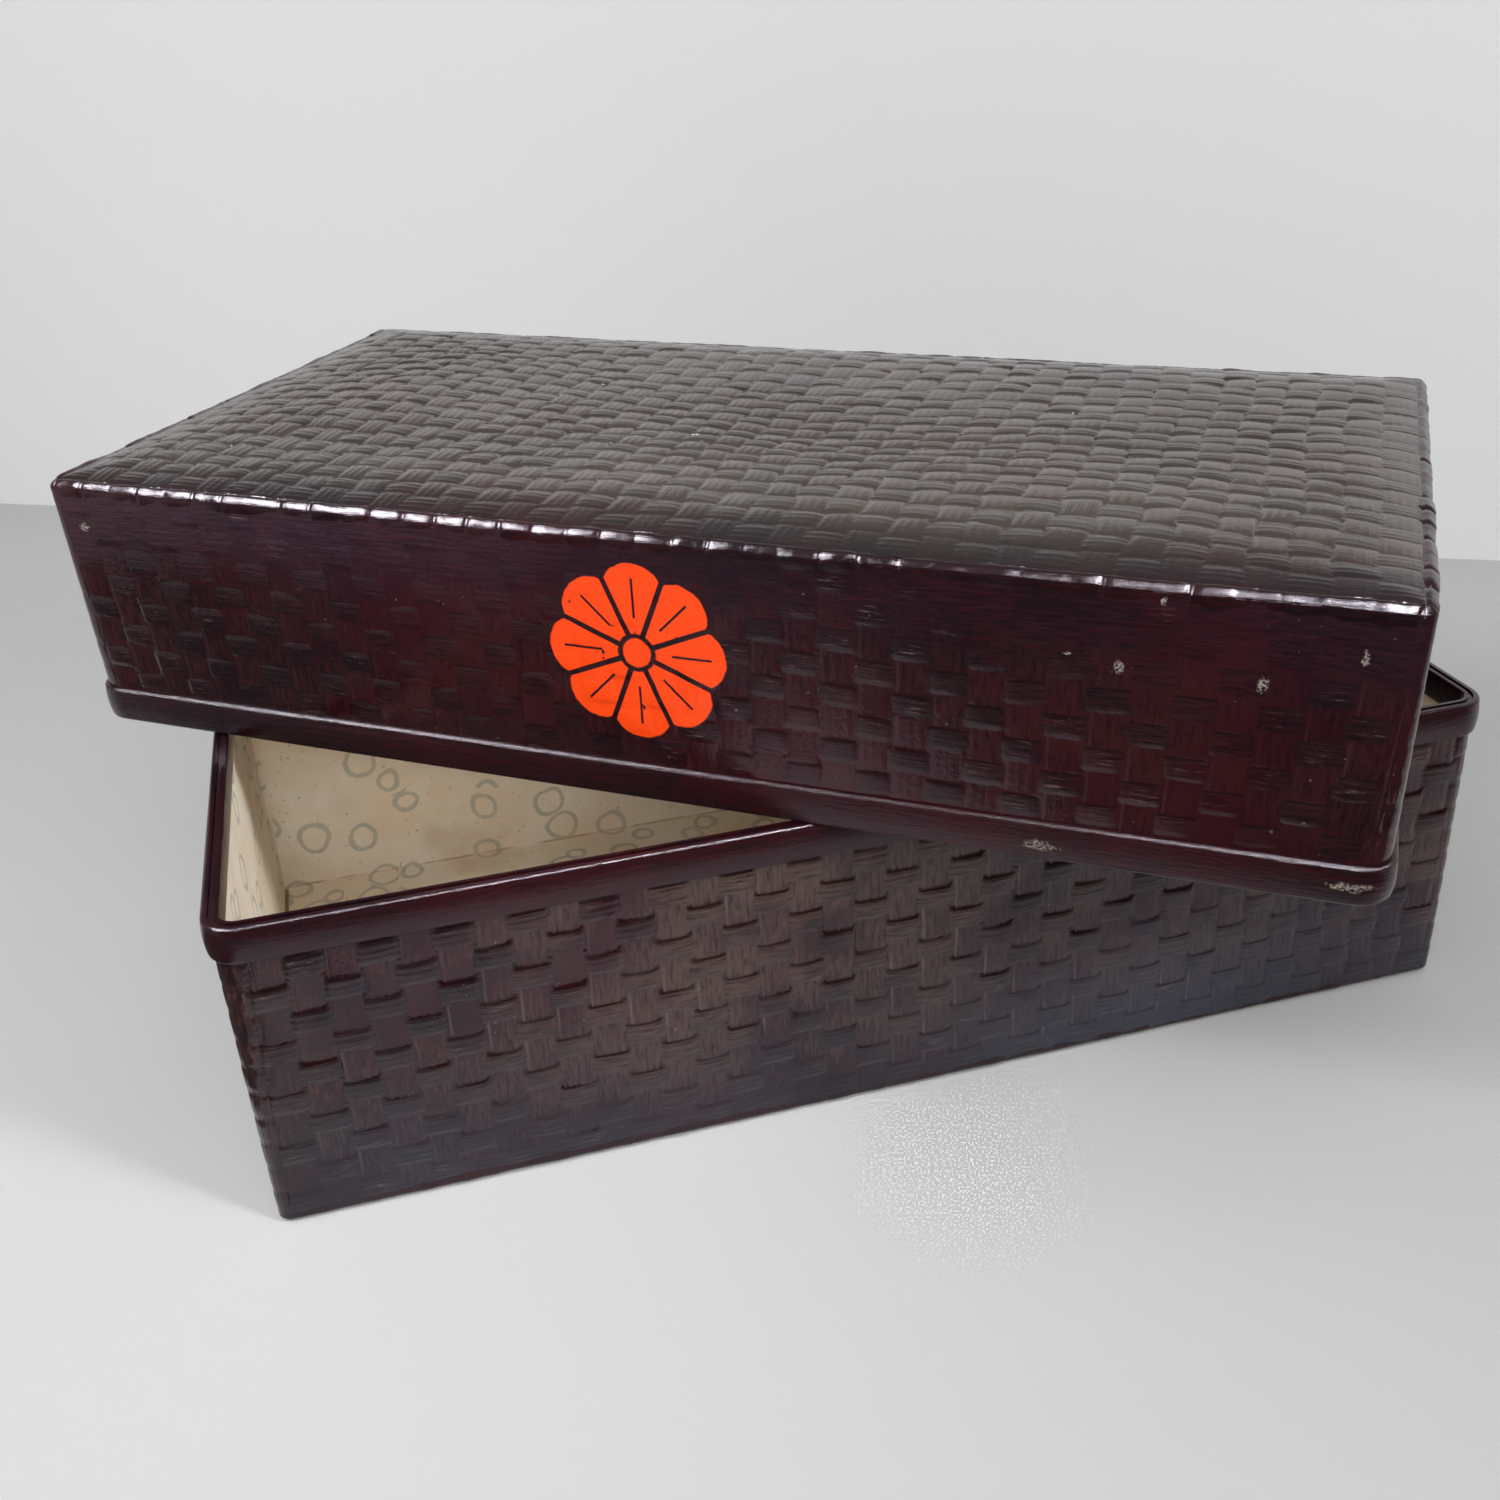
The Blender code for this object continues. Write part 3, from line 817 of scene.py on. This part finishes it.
def rim_hoop(half, seat, face, height, edge, crown, seed):
    """Bent strip round the mouth, seated at one offset, with a crowned face and rounded free edges."""
    inward = math.copysign(1, seat - face)
    low = half.height - height
    high = half.height
    section = []
    face_steps = 8
    round_steps = 5
    for step in range(face_steps + 1):
        share = step / face_steps
        z = low + edge + (height - 2 * edge) * share
        section.append((face + inward * crown * (2 * share - 1) ** 2, z, -inward, 0))
    for step in range(1, round_steps + 1):
        angle = math.pi / 2 * step / round_steps
        offset = face + inward * (crown + edge * (1 - math.cos(angle)))
        section.append((offset, high - edge + edge * math.sin(angle), 0, 0))
    section += [(seat, high, 0, 0), (seat, low, 0, 0)]
    for step in range(round_steps):
        angle = math.pi / 2 * (1 - step / round_steps)
        offset = face + inward * (crown + edge * (1 - math.cos(angle)))
        section.append((offset, low + edge - edge * math.sin(angle), 0, 0))

    def lift(station, row):
        offset, z, _, _ = section[row]
        here = half.at(station, offset, z)
        return 0.00020 * waver(here, 25, seed) + 0.00012 * waver(here, 70, seed + 1)

    return swept_ring(half, half.walk((0, 0.25, 0.5, 0.75), CORNER_STEPS), section, lift)


HOOP_CHIPS = ((0.253, 0.010, 0.0110, 0.0036), (0.428, 0.013, 0.0120, 0.0030))

base_rim_lacquer, start = start_finish("base_rim_lacquer")
finish_lacquer(start, *brushed_lacquer(start, 0.6))
lid_rim_lacquer, start = start_finish("lid_rim_lacquer")
colour, roughness, height = brushed_lacquer(start, 1.2)
bare = chipped(start, HOOP_CHIPS)
finish_lacquer(start, bare.blend(colour, BARE_PAPER), roughness + 0.5 * bare, height - 1.5 * bare)
for half, rim_lacquer, seed in ((base, base_rim_lacquer, 51), (lid, lid_rim_lacquer, 61)):
    outer = rim_hoop(half, -SKIN, HOOP_PROUD, HOOP_HEIGHT, edge=0.0024, crown=0.0009, seed=seed)
    depths = (-LINING_DEPTH, -MOUTH_DEPTH)
    inner = rim_hoop(half, *depths, INNER_HOOP_HEIGHT, edge=0.0014, crown=0.0003, seed=seed + 5)
    node = half.body + "_outer_hoop"
    add_piece(half.body + "_rim_hoop", outer, half, rim_lacquer, "rim_lacquer", node)
    node = half.body + "_inner_hoop"
    add_piece(half.body + "_inner_rim_hoop", inner, half, rim_lacquer, "rim_lacquer", node)


# Linings: cream paper printed with loose grey-green rings, pasted inside both halves.
# One length runs down the front wall, over the closed end and up the back, and a piece covers each end wall.

PAPER = 0.0005
FOLD_RADIUS = 0.004
LINING_LAP = 0.0007
UNDER_HOOP = 0.001
PAPER_WAVE = 0.0011
WALL_COLUMNS = 90
WALL_ROWS = 22
FLOOR_ROWS = 44
FOLD_ROWS = 4
TURN_STEPS = 6


def wall_run(side, reach):
    """Stations along one wall and round the corners at its ends by a share of their turn."""
    turns = [step / TURN_STEPS * reach for step in range(TURN_STEPS + 1)]
    run = [("corner", side, 1 - turn, 1, 0) for turn in reversed(turns)]
    run += [("wall", side, column, WALL_COLUMNS, 0) for column in range(1, WALL_COLUMNS)]
    return run + [("corner", side + 1, turn, 1, 0) for turn in turns]


def pasted(bm, half, name, node, material):
    """Gives a sheet its thickness and adds it."""
    bmesh.ops.recalc_face_normals(bm, faces=bm.faces)
    bmesh.ops.solidify(bm, geom=bm.faces[:], thickness=PAPER)
    add_piece(name, bm, half, material, "lining_paper", node)


def lining_wave(point, seed):
    """How far the paper has come away from the wall."""
    return PAPER_WAVE * max(waver(point, 9, seed) + 0.3 * waver(point, 30, seed + 1), 0)


def long_lining(half, seed):
    """Length of paper from the front wall's edge over the closed end to the back wall's edge."""
    depth = LINING_DEPTH + PAPER
    top = half.height - INNER_HOOP_HEIGHT + UNDER_HOOP
    run = wall_run(FRONT, 0.9)
    section = []
    for step in range(WALL_ROWS):
        share = step / WALL_ROWS
        section.append(("front", depth, top + (depth + FOLD_RADIUS - top) * share, 0))
    for step in range(FOLD_ROWS):
        angle = math.pi / 2 * step / FOLD_ROWS
        inset = FOLD_RADIUS * (1 - math.cos(angle))
        section.append(("front", depth + inset, depth + FOLD_RADIUS * (1 - math.sin(angle)), 0))
    for step in range(FLOOR_ROWS // 2 + 1):
        section.append(("floor", depth + FOLD_RADIUS, depth, step / FLOOR_ROWS))
    section += [("back", *rest) for _, *rest in reversed(section[:-1])]
    first_fold = WALL_ROWS + FOLD_ROWS // 2
    folds = (first_fold, len(section) - 1 - first_fold)
    across = half.width - 2 * (depth + FOLD_RADIUS)
    run_down = []
    for part, inset, z, share in section:
        down_front = top - z + inset
        on_floor = across * share
        run_down.append(down_front + on_floor if part != "back" else 2 * top + across - down_front - on_floor)

    def spot(column, row):
        part, inset, z, share = section[row]
        front = half.at(run[column], -inset, z)
        back = Vector((front.x, -front.y, z))
        edge = front.lerp(back, share)
        wave = lining_wave(edge, seed)
        if part == "back":
            back = half.at(run[column], -inset - wave, z)
            edge = Vector((back.x, -back.y, z)).lerp(Vector((back.x, back.y, z)), share)
        elif part == "front":
            edge = half.at(run[column], -inset - wave, z)
        edge.z += wave if part == "floor" else 0
        return edge, (edge.x, run_down[row]), float(row in folds), 0, 0

    return bent_grid(len(run) - 1, len(section) - 1, spot)


def end_lining(half, side, seed):
    """Paper on one end wall, lapped over the long sheet."""
    depth = LINING_DEPTH + PAPER + LINING_LAP
    top = half.height - INNER_HOOP_HEIGHT + UNDER_HOOP
    run = wall_run(side, 0.6)

    def spot(column, row):
        z = depth + (top - depth) * row / WALL_ROWS
        flat = half.at(run[column], -depth, z)
        point = half.at(run[column], -depth - lining_wave(flat, seed), z)
        return point, (point.y, z), 0, 0, 0

    return bent_grid(len(run) - 1, WALL_ROWS, spot)


CREAM = (0.82, 0.68, 0.50, 1)
PALE_CREAM = (0.89, 0.82, 0.70, 1)
TEA_STAIN = (0.50, 0.32, 0.17, 1)
RING_INK = (0.40, 0.39, 0.32, 1)

RING_SPACING = 0.054
RING_LINE = 0.034

lining_print, start = start_finish("printed_lining_paper")
place = object_place(start)
laid = laid_place(start)
shift = start.node("ShaderNodeTexNoise", None, {"Vector": laid, "Scale": 36, "Detail": 1}, 1)
shifted = {0: shift, 1: (0.011, 0.011, 0), 2: laid}
drawn = shift.node("ShaderNodeVectorMath", {"operation": "MULTIPLY_ADD"}, shifted)
cells = {"Vector": drawn, "Scale": 1 / RING_SPACING, "Randomness": 0.8}
cell = drawn.node("ShaderNodeTexVoronoi", {"voronoi_dimensions": "2D"}, cells)
chance = cell.also("Color")
pick = part(chance, 0)


def ring_line(away, radius):
    """1 on a brushed ring of the given radius, in cells."""
    return (away - radius).maths("ABSOLUTE").ramp(1.5 * RING_LINE, 0.7 * RING_LINE)


ring = ring_line(cell, 0.14 + 0.11 * pick) * pick.also(1).ramp(0.15, 0.2)
aside = chance.node("ShaderNodeVectorMath", {"operation": "SUBTRACT"}, {0: chance, 1: (0.5, 0.5, 0)})
aside = aside.node("ShaderNodeVectorMath", {"operation": "NORMALIZE"}, {0: aside.scaled(1, 1, 0)})
beside = {0: aside, 1: (0.021, 0.021, 0), 2: cell.also("Position")}
aside = aside.node("ShaderNodeVectorMath", {"operation": "MULTIPLY_ADD"}, beside)
apart = aside.node("ShaderNodeVectorMath", {"operation": "DISTANCE"}, {0: aside, 1: drawn}, 1)
second_ring = ring_line(apart * (1 / RING_SPACING), 0.15) * pick.also(2).ramp(0.65, 0.7)
ring = ring.maths("MAXIMUM", second_ring)
mottle = place.cloud(14, 5, 0.6)
stain = place.cloud(9, 4).ramp(0.58, 0.74)
specks = place.cloud(240, 1).ramp(0.70, 0.76)
folded = attribute(start, "lift").ramp(0.0, 0.6)
colour = mottle.ramp(0.3, 0.7).blend(CREAM, PALE_CREAM)
colour = (ring * (0.35 + 0.5 * place.cloud(90, 2))).blend(colour, RING_INK)
colour = (stain * 0.35).blend(colour, TEA_STAIN)
colour = (specks * 0.6).blend(colour, TEA_STAIN)
# Darker brown, broken by noise, along the two folds of the long sheet.
colour = (folded * place.cloud(30, 3).ramp(0.35, 0.6) * 0.8).blend(colour, TEA_STAIN)
fuzz = place.cloud(600, 2)
end_finish(start, {
    "Base Color": colour,
    "Roughness": 0.75 + 0.2 * mottle,
    "Normal": start.node("ShaderNodeBump", None, {"Height": fuzz, "Strength": 0.3, "Distance": 0.0003}),
})
for half, seed in ((base, 71), (lid, 81)):
    body = half.body
    pasted(long_lining(half, seed), half, body + "_long_lining", body + "_lining_sheet", lining_print)
    for side, end in ((LEFT, "left"), (RIGHT, "right")):
        sheet = end_lining(half, side, seed + side)
        pasted(sheet, half, body + "_" + end + "_lining", body + "_lining_" + end, lining_print)


# Floor, light and camera: a plain pale floor and wall under five softboxes, two of them narrow and turned to
# the open mouth, seen from above the front left. Lit and dark cards show only in gloss, and two of the dark
# ones are painted shade: a shadow on the floor in front, and the shade inside the base's mouth.

FLOOR_GREY = (0.48, 0.48, 0.48, 1)
WALL_GREY = (0.74, 0.74, 0.74, 1)
FLOOR_SIZE = 400


def stage_sheet(name, size, matrix, finish):
    """Flat square that isn't part of the object, and that is clear from behind."""
    bm = bmesh.new()
    bmesh.ops.create_grid(bm, x_segments=1, y_segments=1, size=size / 2, matrix=matrix)
    mesh = bpy.data.meshes.new(name)
    bm.to_mesh(mesh)
    bm.free()
    sheet = bpy.data.objects.new(name, mesh)
    bpy.context.collection.objects.link(sheet)
    paint, start = start_finish(name + "_paint")
    end_finish(start, finish, True)
    dress(sheet, paint)
    return sheet


WALL_TURN = math.radians(-27.7)
WALL_PLACE = (0.416, 0.792, 1.5)
WALL_HEIGHT = 3.0
WALL_STRETCH = 4
stage_sheet("floor", FLOOR_SIZE, Matrix(), {"Base Color": FLOOR_GREY, "Specular IOR Level": 0})
upright = Matrix.Rotation(math.pi / 2, 4, "X")
wall = Matrix.Translation(WALL_PLACE) @ Matrix.Rotation(WALL_TURN, 4, "Z") @ upright
matt_wall = {"Base Color": WALL_GREY, "Specular IOR Level": 0}
stage_sheet("wall", WALL_HEIGHT, wall @ Matrix.Diagonal((WALL_STRETCH, 1, 1, 1)), matt_wall)

DARK_CLOTH = {"Base Color": (0.02, 0.02, 0.02, 1), "Roughness": 1.0}
DIM_CLOTH = {"Base Color": (0.20, 0.20, 0.20, 1), "Roughness": 1.0}
LIT_CLOTH = {"Base Color": (0, 0, 0, 1), "Emission Color": (1, 1, 1, 1), "Emission Strength": 45}
SOFTLY_LIT_CLOTH = {**LIT_CLOTH, "Emission Strength": 28}
BRIGHTLY_LIT_CLOTH = {**LIT_CLOTH, "Emission Strength": 160}


def gloss_card(name, width, height, location, towards, finish):
    """Card, beside the picture or in the base's mouth, that shows only in the gloss of the lacquer."""
    facing = Vector(towards).to_track_quat("Z", "Y").to_matrix().to_4x4()
    matrix = Matrix.Translation(location) @ facing @ Matrix.Diagonal((width, height, 1, 1))
    card = stage_sheet(name, 1, matrix, finish)
    card.visible_camera = False
    card.visible_diffuse = False
    card.visible_shadow = False
    card.visible_transmission = False


gloss_card("dark_flag", 6.0, 2.0, (0, -1.9, 1.0), (0, 1, 0), DARK_CLOTH)
gloss_card("left_card", 1.2, 0.7, (-1.75, 0.0, 2.1), (1.6, -0.1, -1.78), LIT_CLOTH)
gloss_card("front_card", 0.75, 0.3, (-0.425, -1.0, 2.2), (-0.15, 0.8, -1.96), SOFTLY_LIT_CLOTH)
gloss_card("rim_card", 0.75, 0.3, (0.325, -1.0, 2.2), (-0.15, 0.8, -1.96), BRIGHTLY_LIT_CLOTH)
# A painted shadow on the floor in front, seen only in the gloss.
gloss_card("front_floor_shadow_card", 3.0, 1.0, (-0.1, -1.08, 0.002), (0, 0, 1), DARK_CLOTH)
gloss_card("dim_upper_wall", 12.0, 2.05, (0.393, 0.748, 1.925), (-0.465, -0.885, 0), DIM_CLOTH)
# Painted shade: a dark card in the base's mouth darkens what the gloss shows of the inside.
gloss_card("mouth_shade_card", 0.84, 0.38, (0, 0, 0.215), (0, 0, 1), DARK_CLOTH)
gloss_card("dark_left_mat", 1.05, 0.63, (-1.075, -0.215, 0.002), (0, 0, 1), DARK_CLOTH)

ROOM_LIGHT = 0.45
world = bpy.data.worlds.new("pale_room")
world.use_nodes = True
background = world.node_tree.nodes["Background"]
background.inputs["Color"].default_value = (1, 1, 1, 1)
background.inputs["Strength"].default_value = ROOM_LIGHT
bpy.context.scene.world = world


def softbox(name, location, target, width, depth, power, spread=180):
    """Rectangular area lamp that faces a point, spreads by some degrees and doesn't show in gloss."""
    lamp = bpy.data.lights.new(name, "AREA")
    lamp.shape = "RECTANGLE"
    lamp.size = width
    lamp.size_y = depth
    lamp.energy = power
    lamp.spread = math.radians(spread)
    holder = bpy.data.objects.new(name, lamp)
    holder.location = location
    holder.rotation_euler = (Vector(target) - Vector(location)).to_track_quat("-Z", "Y").to_euler()
    holder.visible_camera = False
    holder.visible_glossy = False
    bpy.context.collection.objects.link(holder)


softbox("left_softbox", (-1.6, -0.7, 1.94), (-0.6, -0.3, 0.1), 0.6, 0.6, 29)
softbox("front_softbox", (-0.7, -2.2, 2.6), (-0.2, 0.0, 0.2), 3.0, 2.2, 50)
softbox("right_softbox", (1.4, -1.6, 1.8), (-0.3, 0.0, 0.1), 0.8, 0.8, 14)
softbox("right_mouth_softbox", (1.2, -1.5, 1.6), (-0.4, -0.05, 0.12), 0.4, 0.4, 1.0, 30)
softbox("front_mouth_softbox", (-0.35, -1.35, 0.86), (-0.3, 0.2, 0.10), 0.3, 0.3, 0.24, 40)

IMAGE_SIDE = 1500
FOCAL_PIXELS = 1534.13
SENSOR_SIDE = 36
CAMERA_PLACE = (-0.2976, -1.0059, 0.7489)
CAMERA_TURN = math.radians(-13.859)
CAMERA_TILT = math.radians(90 - 28.822)
CAMERA_ROLL = math.radians(-2.849)
camera_data = bpy.data.cameras.new("camera")
camera_data.sensor_width = SENSOR_SIDE
camera_data.lens = SENSOR_SIDE * FOCAL_PIXELS / IMAGE_SIDE
camera = bpy.data.objects.new("camera", camera_data)
turn = Matrix.Rotation(CAMERA_TURN, 4, "Z")
tilt = Matrix.Rotation(CAMERA_TILT, 4, "X")
roll = Matrix.Rotation(CAMERA_ROLL, 4, "Z")
camera.matrix_world = Matrix.Translation(CAMERA_PLACE) @ turn @ tilt @ roll
bpy.context.collection.objects.link(camera)
bpy.context.scene.camera = camera
bpy.context.scene.view_settings.view_transform = "Standard"
